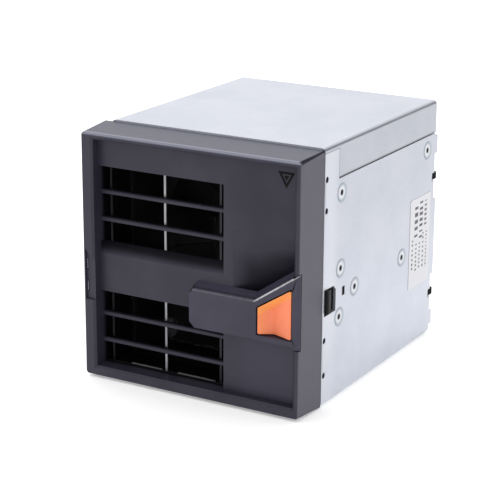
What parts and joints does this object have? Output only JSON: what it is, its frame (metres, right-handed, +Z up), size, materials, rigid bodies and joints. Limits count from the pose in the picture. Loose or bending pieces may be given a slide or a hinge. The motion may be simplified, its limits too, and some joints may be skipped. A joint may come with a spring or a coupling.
{
  "type": "server fan module",
  "caption": "Hot-swap fan module: steel box with a slatted dark front, contra-rotating fans, an orange pull handle and a push button that works a side latch.",
  "frame": {"origin": "centre of the module's length on the underside of the steel box, under the middle of its width", "axes": "+X across to the right as seen from the front, where the latch is; +Y back along the air's path from the bezel to the rear plug; +Z up"},
  "size_m": [0.0878, 0.1064, 0.0901],
  "materials": {
    "zinc_plated_steel": "zinc plated sheet, faint brushed grain",
    "charcoal_plastic": "moulded, fine texture, satin",
    "black_plastic": "moulded, black",
    "orange_plastic": "moulded, satin orange",
    "spring_steel": "spring wire",
    "screw_steel": "zinc plated fastener",
    "foam_rubber": "closed cell foam",
    "board_green": "solder mask on laminate",
    "nylon_white": "natural nylon",
    "brass": "plated contact",
    "fan_black": "glass filled moulding",
    "bearing_steel": "ground steel",
    "core_steel": "pressed steel",
    "copper": "enamelled winding wire",
    "magnet_dark": "bonded ferrite ring"
  },
  "bodies": {
    "module": {"chassis_shell": "zinc_plated_steel", "top_cover": "zinc_plated_steel", "front_bezel": "charcoal_plastic", "inlet_guard": "zinc_plated_steel", "intake_duct": "black_plastic", "pull_handle": "charcoal_plastic", "latch_spring": "spring_steel", "latch_housing": "black_plastic", "fan_bolts": "screw_steel", "fan_nuts": "screw_steel", "fan_pads": "foam_rubber", "control_board": "board_green", "board_spacers": "nylon_white", "rear_plug": "black_plastic", "plug_contacts": "brass", "rear_guard": "black_plastic", "latch_screws": "screw_steel", "cover_screws": "screw_steel", "fan_side_screws": "screw_steel", "front_fan_frame": "fan_black", "front_fan_bearings": "bearing_steel", "front_fan_stator_core": "core_steel", "front_fan_stator_coils": "copper", "front_fan_motor_board": "board_green", "rear_fan_frame": "fan_black", "rear_fan_bearings": "bearing_steel", "rear_fan_stator_core": "core_steel", "rear_fan_stator_coils": "copper", "rear_fan_motor_board": "board_green"},
    "front_rotor": {"front_fan_impeller": "fan_black", "front_fan_rotor_yoke": "core_steel", "front_fan_rotor_magnet": "magnet_dark", "front_fan_shaft": "bearing_steel"},
    "rear_rotor": {"rear_fan_impeller": "fan_black", "rear_fan_rotor_yoke": "core_steel", "rear_fan_rotor_magnet": "magnet_dark", "rear_fan_shaft": "bearing_steel"},
    "latch": {"latch_slide": "black_plastic"},
    "button": {"release_button": "orange_plastic"}
  },
  "joints": [
    {"name": "front_fan_spin", "type": "hinge", "parent": "module", "child": "front_rotor", "pos_m": [0, 0.00235, 0.0425], "axis": [0, 1, 0], "continuous": true},
    {"name": "rear_fan_spin", "type": "hinge", "parent": "module", "child": "rear_rotor", "pos_m": [0, 0.02775, 0.0425], "axis": [0, 1, 0], "continuous": true},
    {"name": "latch_slide", "type": "slide", "parent": "module", "child": "latch", "axis": [-1, 0, 0], "range_m": [0, 0.0018], "stiffness_N_per_m": 700, "springref_m": -0.003, "deforming": ["latch_spring"]},
    {"name": "button_press", "type": "slide", "parent": "module", "child": "button", "axis": [0, 1, 0], "range_m": [0, 0.0025]}
  ],
  "couplings": [
    {"joint": "button_press", "follows": "latch_slide", "ratio": 1.3889}
  ]
}
